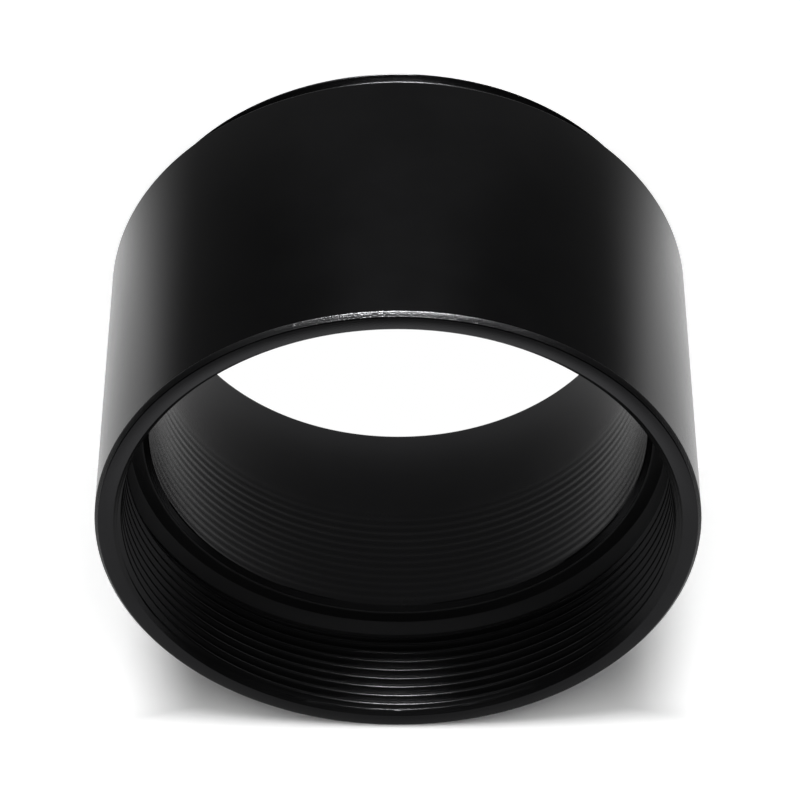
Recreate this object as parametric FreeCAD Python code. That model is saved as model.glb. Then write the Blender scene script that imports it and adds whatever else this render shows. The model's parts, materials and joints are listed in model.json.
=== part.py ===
# Extension tube for a telescope or camera train, turned in one piece from aluminium bar.
# It stands on its male end: Z runs along the axis and is 0 at the male end's face.
# Lengths are in millimetres, and the female mouth is at the top.
import FreeCAD, Part
import math
import os

# Screw thread, the same at both ends: 2 inch, 24 turns to the inch.
# It sets the size across the whole tube.
thread_nominal_diameter = 50.8
thread_pitch = 25.4 / 24.0

# Body
body_length = 30.7
rim_wall = 1.65
outer_chamfer = 0.55

# Male end
male_end_length = 3.3
male_thread_clearance = 0.05
male_relief_width = 0.8
male_relief_depth = 0.75
male_end_chamfer = 0.4

# Female end: thread, relief groove below it, and a flat seat at the bottom
female_depth = 11.1
mouth_chamfer = 0.70
female_relief_width = 2.0
female_relief_clearance = 0.15
corner_bevel = 0.9
seat_width = 1.2

# Bore that the light passes through, with shallow V grooves that stop glancing reflections,
# 27 of them to the inch
bore_entry_chamfer = 0.85
baffle_pitch = 25.4 / 27.0
baffle_depth = 0.15
plain_bore_length = 10.0
bore_exit_chamfer = 0.2

# Heights that follow from the sizes above
total_length = body_length + male_end_length
seat_height = total_length - female_depth
relief_top = seat_height + female_relief_width
baffle_top = seat_height - bore_entry_chamfer
baffle_turns = int((baffle_top - plain_bore_length) / baffle_pitch)

# Radii that follow from the sizes above, from the outside in
thread_nominal_radius = thread_nominal_diameter / 2.0
internal_thread_depth = 0.625 * thread_pitch * math.sqrt(3.0) / 2.0
female_relief_radius = thread_nominal_radius + female_relief_clearance
outer_radius = female_relief_radius + rim_wall
male_thread_radius = thread_nominal_radius - male_thread_clearance
male_relief_radius = male_thread_radius - male_relief_depth
female_thread_radius = thread_nominal_radius - internal_thread_depth
mouth_radius = female_thread_radius + mouth_chamfer
seat_outer_radius = female_relief_radius - corner_bevel
seat_inner_radius = seat_outer_radius - seat_width
baffle_root_radius = seat_inner_radius - bore_entry_chamfer
bore_radius = baffle_root_radius - baffle_depth


def outer_profile():
    """Half section of the outside, from the male end's face up to the mouth's face."""
    relief_bottom = male_end_length - male_relief_width
    relief_slope = 0.3 * male_relief_width
    return [
        (male_thread_radius - male_end_chamfer, 0.0),
        (male_thread_radius, male_end_chamfer),
        (male_thread_radius, relief_bottom),
        (male_relief_radius, relief_bottom + relief_slope),
        (male_relief_radius, male_end_length),
        (outer_radius - outer_chamfer, male_end_length),
        (outer_radius, male_end_length + outer_chamfer),
        (outer_radius, total_length - outer_chamfer),
        (outer_radius - outer_chamfer, total_length),
    ]


def female_profile():
    """Half section of the threaded recess, from the mouth down to the baffle."""
    relief_slope = female_relief_radius - female_thread_radius
    return [
        (mouth_radius, total_length),
        (female_thread_radius, total_length - mouth_chamfer),
        (female_thread_radius, relief_top),
        (female_relief_radius, relief_top - relief_slope),
        (female_relief_radius, seat_height + corner_bevel),
        (seat_outer_radius, seat_height),
        (seat_inner_radius, seat_height),
    ]


def baffle_profile():
    """Half section of the baffled bore: a V groove and the sharp ridge below it, once for each turn."""
    points = []
    for turn in range(baffle_turns):
        groove_root = baffle_top - turn * baffle_pitch
        points.append((baffle_root_radius, groove_root))
        points.append((bore_radius, groove_root - baffle_pitch / 2.0))
    return points


def exit_profile():
    """Half section of the bore's plain end at the male face."""
    return [
        (bore_radius, bore_exit_chamfer),
        (bore_radius + bore_exit_chamfer, 0.0),
    ]


def turned_solid(half_section):
    """Turn a closed half section, given as (radius, height), round the Z axis."""
    corners = [FreeCAD.Vector(radius, 0.0, height) for radius, height in half_section]
    corners.append(corners[0])
    face = Part.Face(Part.makePolygon(corners))
    return face.revolve(FreeCAD.Vector(0, 0, 0), FreeCAD.Vector(0, 0, 1), 360.0)


tube = turned_solid(outer_profile() + female_profile() + baffle_profile() + exit_profile())
assert tube.isValid() and tube.Volume > 0.0

os.makedirs("parts", exist_ok=True)
tube.exportStep("parts/extension_tube.step")
print("extension_tube", round(tube.Volume, 1), "mm3", tube.BoundBox)
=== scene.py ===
"""Looks of an extension tube: its screw threads, its baffle, its black anodised finish, and a plain studio.

The tube is turned in one piece, so one closed surface stands for it. Lengths are in millimetres here,
in the frame of the solid: Z is the bore's axis, the male end stands on z = 0 and the mouth is on top.
"""

import json
import logging
import math
from dataclasses import dataclass
from enum import Enum

import bmesh
import bpy
import numpy as np
from mathutils import Matrix, Vector


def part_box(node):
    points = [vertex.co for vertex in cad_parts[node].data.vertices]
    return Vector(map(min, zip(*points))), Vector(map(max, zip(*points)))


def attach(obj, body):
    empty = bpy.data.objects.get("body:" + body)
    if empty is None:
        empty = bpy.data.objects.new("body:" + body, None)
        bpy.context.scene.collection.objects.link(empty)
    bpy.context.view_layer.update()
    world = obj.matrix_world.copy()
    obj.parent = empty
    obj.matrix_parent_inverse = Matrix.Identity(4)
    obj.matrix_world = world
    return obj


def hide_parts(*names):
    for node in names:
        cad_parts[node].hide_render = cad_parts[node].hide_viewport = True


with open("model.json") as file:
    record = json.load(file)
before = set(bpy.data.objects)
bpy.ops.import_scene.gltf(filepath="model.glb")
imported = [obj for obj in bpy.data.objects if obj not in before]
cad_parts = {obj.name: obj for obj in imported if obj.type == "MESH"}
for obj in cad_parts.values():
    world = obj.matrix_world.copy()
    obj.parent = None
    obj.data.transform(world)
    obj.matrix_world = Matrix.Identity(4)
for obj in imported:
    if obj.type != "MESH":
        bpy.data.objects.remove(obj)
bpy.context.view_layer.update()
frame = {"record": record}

MM = 0.001
NODE = "extension_tube"
# Points closer than this are one point, and edges bent more than this are drawn sharp
WELD_MM = 0.002
SHARP_DEGREES = 32.0
# Depth of a 60 degree thread for each millimetre of pitch, cut inside and cut outside
INNER_THREAD_DEPTH = 0.625 * math.sqrt(3) / 2
OUTER_THREAD_DEPTH = 0.6134
log = logging.getLogger("extension_tube")


def linear(hex_colour: str) -> tuple[float, float, float, float]:
    """Turn an sRGB hex colour into Blender's linear colour.

    Args:
        hex_colour: six hex digits, such as "1a1a1b".

    Returns:
        Red, green and blue from 0 to 1, and an alpha of 1.
    """
    parts = [int(hex_colour[i:i + 2], 16) / 255 for i in (0, 2, 4)]
    red, green, blue = [c / 12.92 if c <= 0.04045 else ((c + 0.055) / 1.055) ** 2.4 for c in parts]
    return (red, green, blue, 1.0)


def add_node(tree: bpy.types.NodeTree, kind: str, inputs: dict | None = None,
             **settings: object) -> bpy.types.Node:
    """Add a shader node, with its settings, its values and its links.

    Args:
        tree: the node tree that gets the node.
        kind: the node's type name.
        inputs: socket name or number, with the value to set or the output socket to link.
        settings: attributes of the node itself.

    Returns:
        The new node.
    """
    node = tree.nodes.new(kind)
    for name, value in settings.items():
        setattr(node, name, value)
    for socket, value in (inputs or {}).items():
        if isinstance(value, bpy.types.NodeSocket):
            tree.links.new(value, node.inputs[socket])
        else:
            node.inputs[socket].default_value = value
    return node


class Surface(Enum):
    """How a stretch of the tube was finished before it was anodised. The value is its material slot."""

    BLASTED = 0
    TURNED = 1
    EDGE = 2
    FACED = 3


class Paper(Enum):
    """The sheets of white paper in the studio."""

    FLOOR = "floor"
    CARD = "card"


@dataclass(frozen=True)
class BlackAnodisedAluminium:
    """Black anodised aluminium: a dyed oxide layer over metal.

    It gives the eye a near-black satin metal that stays dark where it is faced squarely and turns to a
    soft white sheen where it is seen at a low angle. Blasting leaves a fine grain that sparkles on edges
    under the lamp, and a lathe tool leaves rings round the axis.

    Attributes:
        name: the material's name.
        colour: darker tone of the dye, in hex.
        patch_colour: lighter tone of the dye, in hex.
        roughness: middle roughness.
        roughness_spread: how far the patches move the roughness up and down.
        grain_mm: width of the beads' dimples.
        grain_height_mm: their depth.
        ring_mm: width of the tool's rings.
        ring_height_mm: their height, 0 where blasting took them off.
        metal: share of the surface that mirrors like metal; the rest is dye that scatters light.
        patch_mm: width of the dye's patches.
    """

    name: str
    colour: str
    patch_colour: str
    roughness: float
    roughness_spread: float
    grain_mm: float
    grain_height_mm: float
    ring_mm: float
    ring_height_mm: float
    metal: float = 1.0
    patch_mm: float = 5.0

    def material(self) -> bpy.types.Material:
        """Build the node material of this finish.

        Returns:
            The material.
        """
        material = bpy.data.materials.new(self.name)
        material.use_nodes = True
        tree = material.node_tree
        shader = tree.nodes["Principled BSDF"]
        place = add_node(tree, "ShaderNodeTexCoord").outputs["Object"]
        per_metre = 1 / MM

        # Dye takes a little unevenly, in patches a few millimetres across.
        patches = add_node(tree, "ShaderNodeTexNoise",
                           {"Vector": place, "Scale": per_metre / self.patch_mm, "Detail": 3.0})
        colour = add_node(tree, "ShaderNodeMix",
                          {"Factor": patches.outputs["Fac"], 6: linear(self.colour),
                           7: linear(self.patch_colour)}, data_type="RGBA")
        tree.links.new(colour.outputs[2], shader.inputs["Base Color"])

        # Peened dimples, drawn two to three times as coarse as 0.05 mm grit leaves them, so that they show.
        grain = add_node(tree, "ShaderNodeTexNoise",
                         {"Vector": place, "Scale": per_metre / self.grain_mm, "Detail": 1.0})
        dimples = add_node(tree, "ShaderNodeBump",
                           {"Height": grain.outputs["Fac"], "Distance": self.grain_height_mm * MM})

        # Tool rings: a ridge's height depends only on how far along the axis it is.
        along = add_node(tree, "ShaderNodeSeparateXYZ", {"Vector": place})
        turns = add_node(tree, "ShaderNodeMath", {0: along.outputs["Z"], 1: per_metre / self.ring_mm},
                         operation="MULTIPLY")
        rings = add_node(tree, "ShaderNodeTexNoise", {"W": turns.outputs[0], "Scale": 1.0, "Detail": 1.0},
                         noise_dimensions="1D")
        ridges = add_node(tree, "ShaderNodeBump",
                          {"Height": rings.outputs["Fac"], "Distance": self.ring_height_mm * MM,
                           "Normal": dimples.outputs["Normal"]})
        tree.links.new(ridges.outputs["Normal"], shader.inputs["Normal"])

        matt = add_node(tree, "ShaderNodeMapRange",
                        {"Value": patches.outputs["Fac"],
                         "To Min": self.roughness - self.roughness_spread,
                         "To Max": self.roughness + self.roughness_spread})
        tree.links.new(matt.outputs["Result"], shader.inputs["Roughness"])
        shader.inputs["Metallic"].default_value = self.metal
        return material


BLASTED_FINISH = BlackAnodisedAluminium(
    name="black anodised aluminium, bead blasted", colour="252526", patch_colour="2a2a2b",
    roughness=0.22, roughness_spread=0.02, grain_mm=0.11, grain_height_mm=0.008,
    ring_mm=0.5, ring_height_mm=0.0)
TURNED_FINISH = BlackAnodisedAluminium(
    name="black anodised aluminium, as turned", colour="232324", patch_colour="282829",
    roughness=0.26, roughness_spread=0.03, grain_mm=0.16, grain_height_mm=0.012,
    ring_mm=0.12, ring_height_mm=0.006, metal=0.93)
EDGE_FINISH = BlackAnodisedAluminium(
    name="black anodised aluminium, blasted edge", colour="343435", patch_colour="3a3a3b",
    roughness=0.30, roughness_spread=0.03, grain_mm=0.13, grain_height_mm=0.042,
    ring_mm=0.11, ring_height_mm=0.014)
FACED_FINISH = BlackAnodisedAluminium(
    name="black anodised aluminium, faced", colour="2e2e2f", patch_colour="333334",
    roughness=0.44, roughness_spread=0.03, grain_mm=0.16, grain_height_mm=0.012,
    ring_mm=0.12, ring_height_mm=0.006, metal=0.85)
FINISHES = {Surface.BLASTED: BLASTED_FINISH, Surface.TURNED: TURNED_FINISH,
            Surface.EDGE: EDGE_FINISH, Surface.FACED: FACED_FINISH}


def rounded(corners: np.ndarray, rounding: float, steps: int = 4) -> np.ndarray:
    """Round the inner corners of a section line.

    Each corner c between neighbours a and b becomes the curve (1-t)^2 p + 2t(1-t) c + t^2 q, where p and q
    lie on the two sides, at most rounding from c and never past the middle of a side.

    Args:
        corners: (n, 2) array of radius and height.
        rounding: how far from a corner the curve starts and ends.
        steps: number of pieces in each curve.

    Returns:
        (m, 2) array of the rounded line, with its two ends as they were.
    """
    before, corner, after = corners[:-2], corners[1:-1], corners[2:]
    side_in = before - corner
    side_out = after - corner
    length_in = np.linalg.norm(side_in, axis=1, keepdims=True)
    length_out = np.linalg.norm(side_out, axis=1, keepdims=True)
    start = corner + side_in * np.minimum(rounding / length_in, 0.49)
    end = corner + side_out * np.minimum(rounding / length_out, 0.49)
    t = np.linspace(0.0, 1.0, steps + 1)[None, :, None]
    curve = (1 - t) ** 2 * start[:, None] + 2 * t * (1 - t) * corner[:, None] + t ** 2 * end[:, None]
    return np.vstack([corners[:1], curve.reshape(-1, 2), corners[-1:]])


@dataclass(frozen=True)
class HelixForm:
    """Section of a helical ridge over one pitch: a flat near the axis, a flank, an outer flat, a flank."""

    pitch: float
    near_radius: float
    far_radius: float
    near_flat: float
    far_flat: float
    edge: float

    def turn(self) -> tuple[np.ndarray, np.ndarray]:
        """Corners of one turn.

        Returns:
            Each corner's place in the pitch, from 0 to 1, and its radius.
        """
        flank = (self.pitch - self.near_flat - self.far_flat) / 2
        outer = self.near_flat + flank
        places = np.array([0.0, self.near_flat, outer, outer + self.far_flat])
        radii = np.array([self.near_radius, self.near_radius, self.far_radius, self.far_radius])
        wrapped_places = np.concatenate([[places[-1] - self.pitch], places, [self.pitch]])
        wrapped_radii = np.concatenate([[radii[-1]], radii, [radii[0]]])
        line = rounded(np.stack([wrapped_places, wrapped_radii], axis=1), self.edge, steps=3)[1:-1]
        return line[:, 0] / self.pitch, line[:, 1]


@dataclass(frozen=True)
class WaveForm:
    """Section of a shallow helical groove over one pitch: a wave between two radii."""

    pitch: float
    near_radius: float
    far_radius: float
    points: int = 10

    def turn(self) -> tuple[np.ndarray, np.ndarray]:
        """Points of one turn: at place t the radius is near + (far - near) * (1 - cos 2 pi t) / 2.

        Returns:
            Each point's place in the pitch, from 0 to 1, and its radius.
        """
        places = np.arange(self.points) / self.points
        wave = (1 - np.cos(2 * math.pi * places)) / 2
        return places, self.near_radius + (self.far_radius - self.near_radius) * wave


class TurnedSurface:
    """Grid of points round the axis: rows follow the tube's section and columns go once round it."""

    def __init__(self, columns: int) -> None:
        """Start an empty grid.

        Args:
            columns: number of steps round the axis.
        """
        self.angles = np.linspace(0.0, 2 * math.pi, columns + 1)
        self.radii: list[np.ndarray] = []
        self.heights: list[np.ndarray] = []
        self.surfaces: list[np.ndarray] = []

    def add(self, radii: np.ndarray, heights: np.ndarray, surface: Surface) -> None:
        """Append rows to the grid.

        Args:
            radii: (rows, columns + 1) array.
            heights: array of the same shape.
            surface: finish of the faces that lead up to these rows.
        """
        self.radii.append(radii)
        self.heights.append(heights)
        self.surfaces.append(np.full(len(radii), surface.value))

    def add_plain(self, line: np.ndarray, surface: Surface) -> None:
        """Turn a section line round the axis: each point (r, z) becomes the circle (r cos a, r sin a, z).

        Args:
            line: (n, 2) array of radius and height.
            surface: its finish.
        """
        ones = np.ones_like(self.angles)
        self.add(line[:, :1] * ones, line[:, 1:] * ones, surface)

    def add_helix(self, form: HelixForm | WaveForm, bottom: float, top: float, start_turn: float,
                  limit: np.ndarray, inside: bool, fade: tuple[float, float], surface: Surface) -> None:
        """Carry a ridge's section up a right-hand helix, cut off by the turned shape round it.

        A corner at height h climbs with the angle a: z = h + pitch * a / (2 pi), held between bottom and
        top. Its radius is the form's at the place (z / pitch - a / (2 pi) - start_turn) in the pitch.
        Inside the tube it is at least the limit line's radius at z, and outside it is at most that.

        Args:
            form: the ridge's section.
            bottom: lowest height of the stretch.
            top: highest height of the stretch.
            start_turn: where on the circle the helix starts, in turns.
            limit: (n, 2) array of radius and height, from the bottom up.
            inside: True on a wall that faces the axis; its rows then run from the top down.
            fade: lengths over which the ridge dies out above the bottom and below the top, 0 for none.
            surface: its finish.
        """
        places, corner_radii = form.turn()
        first = math.floor(bottom / form.pitch - start_turn) - 2
        last = math.ceil(top / form.pitch - start_turn) + 1
        turns = np.arange(first, last + 1)[:, None] + start_turn
        corners = ((turns + places[None, :]) * form.pitch).ravel()
        climb = self.angles[None, :] / (2 * math.pi)
        heights = np.clip(corners[:, None] + form.pitch * climb, bottom, top)
        place = (heights / form.pitch - climb - start_turn) % 1.0
        radii = np.interp(place, places, corner_radii, period=1.0)
        from_bottom = np.clip((heights - bottom) / fade[0], 0.0, 1.0) if fade[0] > 0 else 1.0
        from_top = np.clip((top - heights) / fade[1], 0.0, 1.0) if fade[1] > 0 else 1.0
        radii = form.near_radius + (radii - form.near_radius) * from_bottom * from_top
        edge = np.interp(heights, limit[:, 1], limit[:, 0])
        radii = np.maximum(radii, edge) if inside else np.minimum(radii, edge)
        order = slice(None, None, -1) if inside else slice(None)
        self.add(radii[order], heights[order], surface)

    def mesh(self, name: str) -> bpy.types.Mesh:
        """Close the grid into a mesh.

        The last row joins the first. The last column meets the first one turn later on a helix, so the
        points that coincide there are merged, which also closes the ends of the helices.

        Args:
            name: the mesh's name.

        Returns:
            The closed mesh in metres, with its finish on each face.
        """
        radii = np.vstack(self.radii) * MM
        heights = np.vstack(self.heights) * MM
        surfaces = np.concatenate(self.surfaces)
        points = np.stack([radii * np.cos(self.angles), radii * np.sin(self.angles), heights], axis=2)
        rows, columns = radii.shape
        index = np.arange(rows * columns).reshape(rows, columns)
        above = np.roll(index, -1, axis=0)
        faces = np.stack([index[:, :-1], index[:, 1:], above[:, 1:], above[:, :-1]], axis=2).reshape(-1, 4)

        mesh = bpy.data.meshes.new(name)
        mesh.from_pydata(points.reshape(-1, 3), [], faces)
        mesh.polygons.foreach_set("material_index", np.repeat(np.roll(surfaces, -1), columns - 1))
        mesh.polygons.foreach_set("use_smooth", np.ones(len(faces), dtype=bool))
        shell = bmesh.new()
        shell.from_mesh(mesh)
        bmesh.ops.remove_doubles(shell, verts=shell.verts, dist=WELD_MM * MM)
        bmesh.ops.recalc_face_normals(shell, faces=shell.faces)
        shell.to_mesh(mesh)
        shell.free()
        mesh.set_sharp_from_angle(angle=math.radians(SHARP_DEGREES))
        mesh.update()
        return mesh


@dataclass
class ExtensionTube:
    """The tube, turned in one piece. Radii and heights come from the solid's box and its two threads."""

    columns: int = 244
    # Both threads: pitch, rounding of a turn's corners, and the length over which the female one dies out
    pitch: float = 25.4 / 24.0
    thread_edge: float = 0.13
    thread_lead: float = 0.70
    # Outside: the chamfer at the shoulder, the one round the mouth, their rounding, and the mouth face
    chamfer: float = 0.55
    edge_height: float = 0.46
    edge_width: float = 0.36
    chamfer_edge: float = 0.08
    edge_steps: int = 6
    face_crown: float = 0.04
    face_steps: int = 8
    # Male end
    spigot: float = 3.3
    spigot_chamfer: float = 0.5
    spigot_relief_width: float = 0.8
    spigot_relief_depth: float = 0.75
    spigot_runout: float = 0.24
    # Mouth and recess
    mouth_chamfer: float = 0.70
    recess_depth: float = 11.1
    relief_width: float = 2.0
    relief_clearance: float = 0.15
    bevel: float = 0.9
    seat_width: float = 1.2
    recess_edge: float = 0.06
    # Baffle and bore
    entry_chamfer: float = 0.85
    entry_start: float = 0.15
    baffle_pitch: float = 25.4 / 27.0
    baffle_depth: float = 0.035
    plain_bore: float = 9.8
    baffle_fade: float = 3.0
    baffle_inset: float = 0.60
    bore_step: float = 0.15
    exit_chamfer: float = 0.2
    # How far past a corner one stretch of the section hands over to the next
    handover: float = 0.1
    # Where on the circle each helix starts, in turns
    female_start: float = 0.80
    male_start: float = 0.10
    baffle_start: float = 0.89

    def __post_init__(self) -> None:
        """Take the outer size from the solid's box and the thread radii from the record's mounts."""
        low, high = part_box(NODE)
        mounts = {mount["name"]: mount for mount in frame["record"]["mounts"]}
        self.outer_radius = min(-low.x, high.x, -low.y, high.y) / MM
        self.length = high.z / MM
        self.female_minor = mounts["female_thread"]["dims"]["r_mm"]
        self.male_major = mounts["male_thread"]["dims"]["r_mm"]
        self.nominal_radius = self.female_minor + INNER_THREAD_DEPTH * self.pitch
        self.male_minor = self.male_major - OUTER_THREAD_DEPTH * self.pitch
        self.relief_radius = self.nominal_radius + self.relief_clearance
        self.seat_height = self.length - self.recess_depth
        self.seat_outer = self.relief_radius - self.bevel
        self.seat_inner = self.seat_outer - self.seat_width
        self.bore_radius = self.seat_inner - self.entry_chamfer - self.bore_step
        self.mouth_radius = self.female_minor + self.mouth_chamfer
        self.spigot_relief_radius = self.male_major - self.spigot_relief_depth

    def thread_form(self, minor: float, major: float) -> HelixForm:
        """Section of a thread: flats a quarter of the pitch wide at the minor radius and an eighth outside.

        Args:
            minor: its minor radius.
            major: its major radius.

        Returns:
            The section.
        """
        return HelixForm(self.pitch, minor, major, self.pitch / 4, self.pitch / 8, self.thread_edge)

    def add_spigot(self, grid: TurnedSurface) -> None:
        """Male end: its face, and the thread cut off by a chamfer below and by the relief groove above.

        Args:
            grid: the surface that gets it.
        """
        face_edge = self.male_major - self.spigot_chamfer
        relief_bottom = self.spigot - self.spigot_relief_width
        thread_top = relief_bottom + self.spigot_runout
        form = self.thread_form(self.male_minor, self.male_major)
        limit = np.array([(face_edge, 0.0), (self.male_major, self.spigot_chamfer),
                          (self.male_major, relief_bottom), (self.spigot_relief_radius, thread_top)])
        grid.add_helix(form, 0.0, thread_top, self.male_start, limit, False, (0.0, 0.0), Surface.TURNED)

    def add_outside(self, grid: TurnedSurface) -> None:
        """Relief groove, shoulder, body and mouth face, with the chamfers at both ends of the body.

        Blasting leaves the mouth face a little crowned. At the share t of the way across it, it stands
        face_crown * 4 t (1 - t) over its edges.

        Args:
            grid: the surface that gets them.
        """
        corners = np.array([
            (self.spigot_relief_radius, self.spigot - self.handover),
            (self.spigot_relief_radius, self.spigot),
            (self.outer_radius - self.chamfer, self.spigot),
            (self.outer_radius, self.spigot + self.chamfer),
            (self.outer_radius, self.length - self.edge_height),
            (self.outer_radius - self.edge_width, self.length - self.face_crown),
            (self.mouth_radius, self.length - self.face_crown),
        ])
        # Each rounded corner is steps + 1 points long, and the line is cut where the finish changes.
        steps = self.edge_steps
        line = rounded(corners, self.chamfer_edge, steps)
        starts = [1 + (steps + 1) * (corner - 1) for corner in range(1, len(corners) - 1)]
        cuts = [starts[1] + 1, starts[2] + steps + 1, starts[3] + 1, starts[4] + 1, starts[4] + steps + 1]
        stretches = np.split(line, cuts)
        finishes = [Surface.BLASTED, Surface.EDGE, Surface.BLASTED, Surface.EDGE, Surface.BLASTED]
        for stretch, finish in zip(stretches, finishes):
            grid.add_plain(stretch, finish)
        across = np.linspace(0.0, 1.0, self.face_steps + 1)[1:, None]
        face = stretches[-2][-1] * (1 - across) + corners[-1] * across
        face[:, 1] += self.face_crown * 4 * (across * (1 - across))[:, 0]
        grid.add_plain(face, Surface.BLASTED)

    def add_recess(self, grid: TurnedSurface) -> None:
        """Female thread under its mouth chamfer, then the relief groove, the bevel and the seat.

        Args:
            grid: the surface that gets them.
        """
        thread_bottom = self.seat_height + self.relief_width
        relief_top = thread_bottom - (self.relief_radius - self.female_minor)
        top = self.length - self.face_crown
        form = self.thread_form(self.female_minor, self.nominal_radius)
        limit = np.array([(self.relief_radius, relief_top), (self.female_minor, thread_bottom),
                          (self.female_minor, self.length - self.mouth_chamfer), (self.mouth_radius, top)])
        grid.add_helix(form, relief_top, top, self.female_start, limit, True, (0.0, self.thread_lead),
                       Surface.TURNED)
        corners = np.array([
            (self.relief_radius, relief_top - self.handover / 2),
            (self.relief_radius, self.seat_height + self.bevel),
            (self.seat_outer, self.seat_height),
            (self.seat_inner, self.seat_height),
            (self.seat_inner - self.handover, self.seat_height - self.handover),
        ])
        grid.add_plain(rounded(corners, self.recess_edge), Surface.FACED)

    def add_bore(self, grid: TurnedSurface) -> None:
        """Baffle, one fine helical groove that dies out, and the plain bore, narrowing to the male face.

        Args:
            grid: the surface that gets them.
        """
        crest = self.seat_inner - self.baffle_inset
        form = WaveForm(self.baffle_pitch, crest, crest + self.baffle_depth)
        top = self.seat_height - self.entry_start
        limit = np.array([(crest, self.plain_bore), (crest, self.seat_height - self.baffle_inset),
                          (self.seat_inner - self.entry_start, top)])
        grid.add_helix(form, self.plain_bore, top, self.baffle_start, limit, True, (self.baffle_fade, 0.0),
                       Surface.TURNED)
        corners = np.array([
            (crest, self.plain_bore - self.handover),
            (self.bore_radius, self.exit_chamfer),
            (self.bore_radius + self.exit_chamfer, 0.0),
        ])
        grid.add_plain(corners, Surface.TURNED)

    def build(self) -> bpy.types.Object:
        """Build the tube's surface and dress it.

        Returns:
            The finished piece.
        """
        grid = TurnedSurface(self.columns)
        self.add_spigot(grid)
        self.add_outside(grid)
        self.add_recess(grid)
        self.add_bore(grid)
        mesh = grid.mesh("tube_surface")
        for surface in Surface:
            mesh.materials.append(FINISHES[surface].material())
        tube = bpy.data.objects.new("tube", mesh)
        bpy.context.scene.collection.objects.link(tube)
        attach(tube, "root")
        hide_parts(NODE)
        mesh.calc_loop_triangles()
        log.info("%s: %d triangles", tube.name, len(mesh.loop_triangles))
        return tube


@dataclass
class PhotoCamera:
    """Camera where the photograph was taken from, turned over so that its up is the tube's -Y."""

    lens: float = 167.91
    sensor: float = 36.0
    place: tuple[float, float, float] = (-0.18, -246.19, 260.58)
    pitch_down: float = 44.67

    def build(self) -> bpy.types.Object:
        """Make the camera and set it as the scene's.

        Returns:
            The camera object.
        """
        data = bpy.data.cameras.new("camera")
        data.lens = self.lens
        data.sensor_width = self.sensor
        data.clip_start = 10 * MM
        data.clip_end = 5000 * MM
        camera = bpy.data.objects.new("camera", data)
        down = math.radians(self.pitch_down)
        forward = Vector((0.0, math.cos(down), -math.sin(down)))
        up = Vector((0.0, -math.sin(down), -math.cos(down)))
        turn = Matrix((forward.cross(up), up, -forward)).transposed()
        camera.matrix_world = Matrix.Translation(Vector(self.place) * MM) @ turn.to_4x4()
        bpy.context.scene.collection.objects.link(camera)
        bpy.context.scene.camera = camera
        return camera


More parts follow.
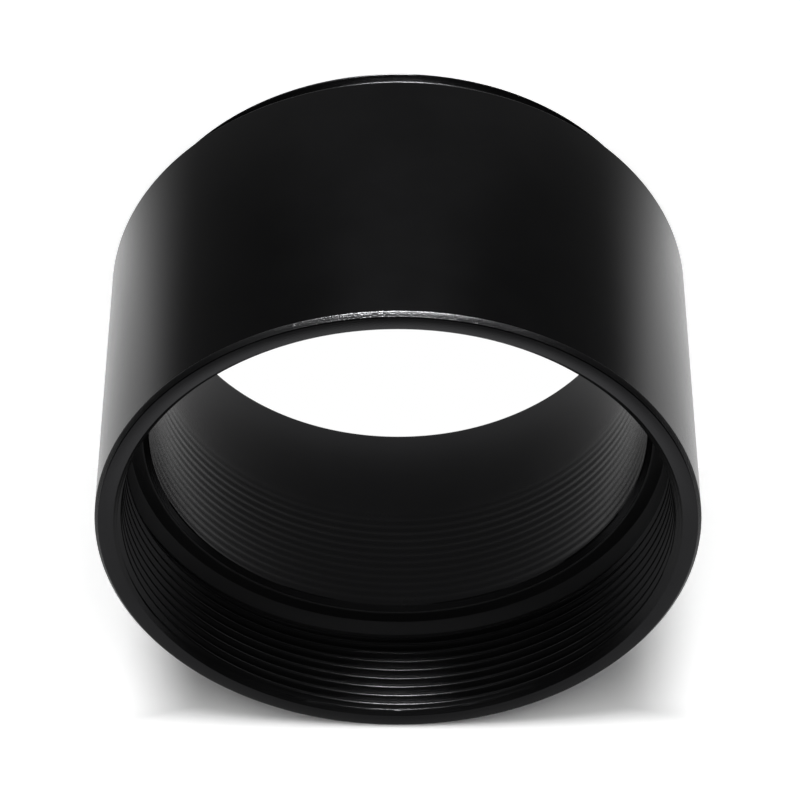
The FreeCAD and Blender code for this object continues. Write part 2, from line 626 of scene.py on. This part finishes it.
@dataclass
class Studio:
    """Plain white studio: a floor, a low card behind the tube that takes its shadow, partly cast and partly
    painted, and two soft boxes.
    """

    # Floor, a hair below the tube, and the light of its own that the camera gets from it
    floor_size: float = 1600.0
    floor_drop: float = 0.05
    floor_fill: float = 0.70
    paper: str = "e6e6e6"
    # Light that the camera gets from the card outside the tube's shade, and the shape of that shade, which
    # is a painted shade
    card_fill: float = 0.65
    shade_middle: float = -1.2
    shade_side: tuple[float, float] = (19.5, 29.0)
    shade_top: tuple[float, float] = (33.3, 34.3)
    shade_drop: float = 1.6
    shade_reach: float = 17.0
    shade_bottom: tuple[float, float] = (8.0, 18.0)
    # Painted reflection: brightness of the floor as only the metal sees it, before and behind the tube, and
    # where it changes
    front_painted_reflection: float = 0.15
    middle_painted_reflection: float = 0.29
    middle_from: float = 8.0
    middle_to: float = 28.0
    back_painted_reflection: float = 0.93
    painted_reflection_from: float = -21.0
    painted_reflection_to: float = -2.0
    # Painted reflection of the floor in the bore: its brightness at the middle, the painted glow added at
    # its rim, how far that reaches, and the share left by a painted shade right at the wall, with the width
    # over which it comes back
    bore_painted_reflection: float = 0.22
    rim_painted_glow: float = 1.3
    rim_reach: float = 2.4
    rim_painted_shade: float = 0.65
    rim_shade_width: float = 3.0
    # Card, its gap to the tube, and its painted reflection brightness in the metal at the mouth's height
    # and at its top
    card_width: float = 170.0
    card_height: float = 62.0
    card_gap: float = 0.1
    near_painted_reflection: float = 0.44
    top_painted_reflection: float = 1.0
    # Strip box overhead in the photograph, which draws the highlights in the metal
    strip_distance: float = 300.0
    strip_elevation: float = 5.5
    strip_width: float = 116.0
    strip_height: float = 58.0
    strip_watts: float = 4.3
    # Broad box, which lights the paper and casts the shadow
    broad_distance: float = 400.0
    broad_elevation: float = 34.0
    broad_size: float = 260.0
    broad_watts: float = 1.0
    # World, as seen by the metal and by the floor: overhead, on the camera's side and behind,
    # and the parts of the sky over which it changes
    world_top: float = 0.05
    world_front: float = 0.12
    world_back: float = 2.0
    front_from: float = -0.25
    front_to: float = -0.60
    back_from: float = 0.45
    back_to: float = 0.92

    def paper_material(self, paper: Paper) -> bpy.types.Material:
        """White seamless paper, seen from its front only, so that it never hides the tube from behind.

        It gives the eye an even white that keeps the tube's soft cast shadow; on the card a painted shade
        deepens it, and under the bore the floor is painted plain white with no shadow. The camera gets a
        little light of its own from it, and the metal sees it with a painted reflection brightness of its
        own.

        Args:
            paper: which sheet it is for.

        Returns:
            The material.
        """
        material = bpy.data.materials.new(f"white paper {paper.value}")
        material.use_nodes = True
        tree = material.node_tree
        tree.nodes.clear()
        ray = add_node(tree, "ShaderNodeLightPath")
        place = add_node(tree, "ShaderNodeTexCoord").outputs["Object"]
        parts = add_node(tree, "ShaderNodeSeparateXYZ", {"Vector": place})
        diffuse = add_node(tree, "ShaderNodeBsdfDiffuse", {"Color": linear(self.paper)})
        # On the card the camera's own light is left out in a painted shade where the tube's shadow falls.
        fill = self.floor_fill if paper is Paper.FLOOR else self.card_glow_and_painted_shade(tree, parts)
        glow = add_node(tree, "ShaderNodeMath", {0: ray.outputs["Is Camera Ray"], 1: fill},
                        operation="MULTIPLY")
        own = add_node(tree, "ShaderNodeEmission", {"Color": linear("ffffff"), "Strength": glow.outputs[0]})
        seen = add_node(tree, "ShaderNodeAddShader", {0: diffuse.outputs[0], 1: own.outputs[0]})
        # The metal sees the paper with a painted reflection, its brightness set by place.
        level = self.floor_painted_reflection(tree, parts) if paper is Paper.FLOOR else self.card_painted_reflection(tree, parts)
        painted_reflection = add_node(tree, "ShaderNodeEmission", {"Color": linear("ffffff"), "Strength": level})
        # Under the bore the floor is painted plain white for the camera, with no shadow in it.
        if paper is Paper.FLOOR:
            white = add_node(tree, "ShaderNodeEmission", {"Color": linear("ffffff"), "Strength": 1.0})
            seen = add_node(tree, "ShaderNodeMixShader",
                            {0: self.under_bore(tree, parts), 1: seen.outputs[0], 2: white.outputs[0]})
        seen = add_node(tree, "ShaderNodeMixShader",
                        {0: ray.outputs["Is Glossy Ray"], 1: seen.outputs[0], 2: painted_reflection.outputs[0]})
        side = add_node(tree, "ShaderNodeNewGeometry")
        clear = add_node(tree, "ShaderNodeBsdfTransparent")
        both = add_node(tree, "ShaderNodeMixShader",
                        {0: side.outputs["Backfacing"], 1: seen.outputs[0], 2: clear.outputs[0]})
        add_node(tree, "ShaderNodeOutputMaterial", {"Surface": both.outputs[0]})
        return material

    def axis_distance(self, tree: bpy.types.NodeTree, parts: bpy.types.Node) -> bpy.types.NodeSocket:
        """Distance from the axis: the square root of X squared plus Y squared.

        Args:
            tree: the node tree.
            parts: the node that gives the point's X and Y.

        Returns:
            The socket with the distance, in metres.
        """
        flat = add_node(tree, "ShaderNodeCombineXYZ", {0: parts.outputs["X"], 1: parts.outputs["Y"]})
        length = add_node(tree, "ShaderNodeVectorMath", {0: flat.outputs[0]}, operation="LENGTH")
        return length.outputs["Value"]

    def floor_painted_reflection(self, tree: bpy.types.NodeTree, parts: bpy.types.Node) -> bpy.types.NodeSocket:
        """Painted reflection: brightness of the floor as only the metal sees it.

        Outside the tube it grows smoothly from before the tube to behind it, and before the tube it is
        brighter in the middle. Under the bore it is the bore's level plus a painted glow, the rim's level
        times exp(-s / rim_reach), where s is the distance from the bore's wall, and a painted shade brings
        it down to the rim's shade share at the wall.

        Args:
            tree: the node tree.
            parts: the node that gives the point's place.

        Returns:
            The socket with the brightness.
        """
        aside = add_node(tree, "ShaderNodeMath", {0: parts.outputs["X"]}, operation="ABSOLUTE")
        before = add_node(tree, "ShaderNodeMapRange",
                          {"Value": aside.outputs[0], "From Min": self.middle_from * MM,
                           "From Max": self.middle_to * MM, "To Min": self.middle_painted_reflection,
                           "To Max": self.front_painted_reflection}, interpolation_type="SMOOTHSTEP")
        behind = add_node(tree, "ShaderNodeMapRange",
                          {"Value": parts.outputs["Y"], "From Min": self.painted_reflection_from * MM,
                           "From Max": self.painted_reflection_to * MM, "To Min": before.outputs["Result"],
                           "To Max": self.back_painted_reflection}, interpolation_type="SMOOTHSTEP")
        distance = self.axis_distance(tree, parts)
        # Painted glow in the reflection, strongest at the bore's rim.
        inwards = add_node(tree, "ShaderNodeMapRange",
                           {"Value": distance, "From Min": 0.0, "From Max": self.bore_radius * MM,
                            "To Min": -self.bore_radius / self.rim_reach, "To Max": 0.0})
        decay = add_node(tree, "ShaderNodeMath", {0: inwards.outputs["Result"]}, operation="EXPONENT")
        under = add_node(tree, "ShaderNodeMath",
                         {0: decay.outputs[0], 1: self.rim_painted_glow, 2: self.bore_painted_reflection},
                         operation="MULTIPLY_ADD")
        # Painted shade in the reflection, right at the bore's wall.
        contact = add_node(tree, "ShaderNodeMapRange",
                           {"Value": distance, "From Min": (self.bore_radius - self.rim_shade_width) * MM,
                            "From Max": self.bore_radius * MM, "To Min": 1.0, "To Max": self.rim_painted_shade},
                           interpolation_type="SMOOTHSTEP")
        shaded = add_node(tree, "ShaderNodeMath", {0: under.outputs[0], 1: contact.outputs["Result"]},
                          operation="MULTIPLY")
        inside = self.under_bore(tree, parts)
        return add_node(tree, "ShaderNodeMix",
                        {0: inside, 2: behind.outputs["Result"], 3: shaded.outputs[0]}).outputs[0]

    def under_bore(self, tree: bpy.types.NodeTree, parts: bpy.types.Node) -> bpy.types.NodeSocket:
        """Tell whether a point of the floor lies under the bore.

        Args:
            tree: the node tree.
            parts: the node that gives the point's place.

        Returns:
            A socket that is 1 under the bore and 0 elsewhere.
        """
        return add_node(tree, "ShaderNodeMath",
                        {0: self.axis_distance(tree, parts), 1: self.bore_radius * MM},
                        operation="LESS_THAN").outputs[0]

    def card_glow_and_painted_shade(self, tree: bpy.types.NodeTree, parts: bpy.types.Node) -> bpy.types.NodeSocket:
        """Light that the camera gets from the card: none in a painted shade where the tube's shadow falls,
        more beside and above it.

        The shade's top comes down to the sides: at u from its middle it starts to end at the height
        top - drop * (u / reach)^2.

        Args:
            tree: the node tree.
            parts: the node that gives the point's place.

        Returns:
            The socket with the light.
        """
        from_middle = add_node(tree, "ShaderNodeMath", {0: parts.outputs["X"], 1: self.shade_middle * MM},
                               operation="SUBTRACT")
        aside = add_node(tree, "ShaderNodeMath", {0: from_middle.outputs[0]}, operation="ABSOLUTE")
        square = add_node(tree, "ShaderNodeMath", {0: aside.outputs[0], 1: 2.0}, operation="POWER")
        curve = -self.shade_drop / (self.shade_reach ** 2 * MM)
        low_edge = add_node(tree, "ShaderNodeMath",
                            {0: square.outputs[0], 1: curve, 2: self.shade_top[0] * MM},
                            operation="MULTIPLY_ADD")
        beside = add_node(tree, "ShaderNodeMapRange",
                          {"Value": aside.outputs[0], "From Min": self.shade_side[0] * MM,
                           "From Max": self.shade_side[1] * MM, "To Min": 0.0, "To Max": self.card_fill},
                          interpolation_type="SMOOTHSTEP")
        above = add_node(tree, "ShaderNodeMapRange",
                         {"Value": parts.outputs["Z"], "From Min": low_edge.outputs[0],
                          "From Max": self.shade_top[1] * MM, "To Min": 0.0, "To Max": self.card_fill},
                         interpolation_type="SMOOTHSTEP")
        below = add_node(tree, "ShaderNodeMapRange",
                         {"Value": parts.outputs["Z"], "From Min": self.shade_bottom[0] * MM,
                          "From Max": self.shade_bottom[1] * MM, "To Min": self.card_fill, "To Max": 0.0},
                         interpolation_type="SMOOTHSTEP")
        most = add_node(tree, "ShaderNodeMath",
                        {0: beside.outputs["Result"], 1: above.outputs["Result"]}, operation="MAXIMUM")
        return add_node(tree, "ShaderNodeMath",
                        {0: most.outputs[0], 1: below.outputs["Result"]}, operation="MAXIMUM").outputs[0]

    def card_painted_reflection(self, tree: bpy.types.NodeTree, parts: bpy.types.Node) -> bpy.types.NodeSocket:
        """Painted reflection: brightness of the card as only the metal sees it, dim at the mouth's height,
        bright below it and above it.

        Args:
            tree: the node tree.
            parts: the node that gives the point's place.

        Returns:
            The socket with the brightness.
        """
        low = add_node(tree, "ShaderNodeMapRange",
                       {"Value": parts.outputs["Z"], "From Min": 0.0, "From Max": self.mouth_height * MM,
                        "To Min": self.back_painted_reflection, "To Max": self.near_painted_reflection},
                       interpolation_type="SMOOTHSTEP")
        rise = self.top_painted_reflection - self.near_painted_reflection
        high = add_node(tree, "ShaderNodeMapRange",
                        {"Value": parts.outputs["Z"], "From Min": self.mouth_height * MM,
                         "From Max": self.card_height * MM, "To Min": 0.0, "To Max": rise})
        return add_node(tree, "ShaderNodeMath", {0: low.outputs["Result"], 1: high.outputs["Result"]},
                        operation="ADD").outputs[0]

    def sheet(self, name: str, corners: list[tuple[float, float, float]],
              material: bpy.types.Material) -> bpy.types.Object:
        """Make a flat sheet of paper for the studio.

        Args:
            name: the sheet's name.
            corners: its four corners, anticlockwise as seen from its front.
            material: its paper.

        Returns:
            The sheet.
        """
        mesh = bpy.data.meshes.new(name)
        mesh.from_pydata(np.array(corners) * MM, [], [(0, 1, 2, 3)])
        mesh.materials.append(material)
        sheet = bpy.data.objects.new(name, mesh)
        bpy.context.scene.collection.objects.link(sheet)
        return sheet

    def build(self, tube: ExtensionTube) -> None:
        """Lay the floor, stand the card behind the tube, hang the boxes and light the world.

        Args:
            tube: the tube, for its radii and length.
        """
        self.bore_radius = tube.bore_radius + tube.exit_chamfer
        self.mouth_height = tube.length
        half, drop = self.floor_size / 2, -self.floor_drop
        floor_corners = [(-half, -half, drop), (half, -half, drop), (half, half, drop), (-half, half, drop)]
        self.sheet("floor", floor_corners, self.paper_material(Paper.FLOOR))
        side, back, high = self.card_width / 2, tube.outer_radius + self.card_gap, self.card_height
        card_corners = [(-side, back, drop), (side, back, drop), (side, back, high), (-side, back, high)]
        card = self.sheet("card", card_corners, self.paper_material(Paper.CARD))
        card.visible_shadow = False
        strip = self.box("strip box", self.strip_distance, self.strip_elevation, self.strip_width,
                         self.strip_height, self.strip_watts)
        strip.visible_diffuse = False
        broad = self.box("broad box", self.broad_distance, self.broad_elevation, self.broad_size,
                         self.broad_size, self.broad_watts)
        broad.visible_glossy = False
        self.world()

    def box(self, name: str, distance: float, elevation: float, width: float, height: float,
            watts: float) -> bpy.types.Object:
        """Hang a soft box on the side that the photograph calls up, aimed at the tube's middle.

        Args:
            name: the lamp's name.
            distance: how far it is from the tube's middle.
            elevation: how high it stands over the horizon, in degrees.
            width: its width across the view.
            height: its height.
            watts: its power.

        Returns:
            The lamp.
        """
        data = bpy.data.lights.new(name, "AREA")
        data.shape = "RECTANGLE"
        data.size = width * MM
        data.size_y = height * MM
        data.energy = watts
        lamp = bpy.data.objects.new(name, data)
        rise = math.radians(elevation)
        middle = Vector((0.0, 0.0, self.mouth_height / 2))
        away = Vector((0.0, -math.cos(rise), math.sin(rise)))
        across = Vector((1.0, 0.0, 0.0))
        turn = Matrix((across, away.cross(across), away)).transposed()
        lamp.matrix_world = Matrix.Translation((middle + away * distance) * MM) @ turn.to_4x4()
        lamp.visible_camera = False
        bpy.context.scene.collection.objects.link(lamp)
        return lamp

    def world(self) -> None:
        """White for the camera, and for the rest a sky, dark in front and overhead and bright behind."""
        world = bpy.data.worlds.new("studio")
        world.use_nodes = True
        tree = world.node_tree
        tree.nodes.clear()
        ray = add_node(tree, "ShaderNodeLightPath")
        direction = add_node(tree, "ShaderNodeTexCoord").outputs["Generated"]
        parts = add_node(tree, "ShaderNodeSeparateXYZ", {"Vector": direction})
        front = add_node(tree, "ShaderNodeMapRange",
                         {"Value": parts.outputs["Y"], "From Min": self.front_from,
                          "From Max": self.front_to, "To Min": self.world_top, "To Max": self.world_front},
                         interpolation_type="SMOOTHSTEP")
        level = add_node(tree, "ShaderNodeMapRange",
                         {"Value": parts.outputs["Y"], "From Min": self.back_from, "From Max": self.back_to,
                          "To Min": front.outputs["Result"], "To Max": self.world_back},
                         interpolation_type="SMOOTHSTEP")
        studio = add_node(tree, "ShaderNodeBackground",
                          {"Color": linear("ffffff"), "Strength": level.outputs["Result"]})
        white = add_node(tree, "ShaderNodeBackground", {"Color": linear("ffffff"), "Strength": 1.0})
        seen = add_node(tree, "ShaderNodeMixShader",
                        {0: ray.outputs["Is Camera Ray"], 1: studio.outputs[0], 2: white.outputs[0]})
        add_node(tree, "ShaderNodeOutputWorld", {"Surface": seen.outputs[0]})
        bpy.context.scene.world = world


def main() -> None:
    """Build the camera, the tube and the studio, in that order."""
    logging.basicConfig(level=logging.INFO, format="%(message)s")
    bpy.context.scene.view_settings.view_transform = "Standard"
    PhotoCamera().build()
    tube = ExtensionTube()
    tube.build()
    Studio().build(tube)


if __name__ == "__main__":
    main()
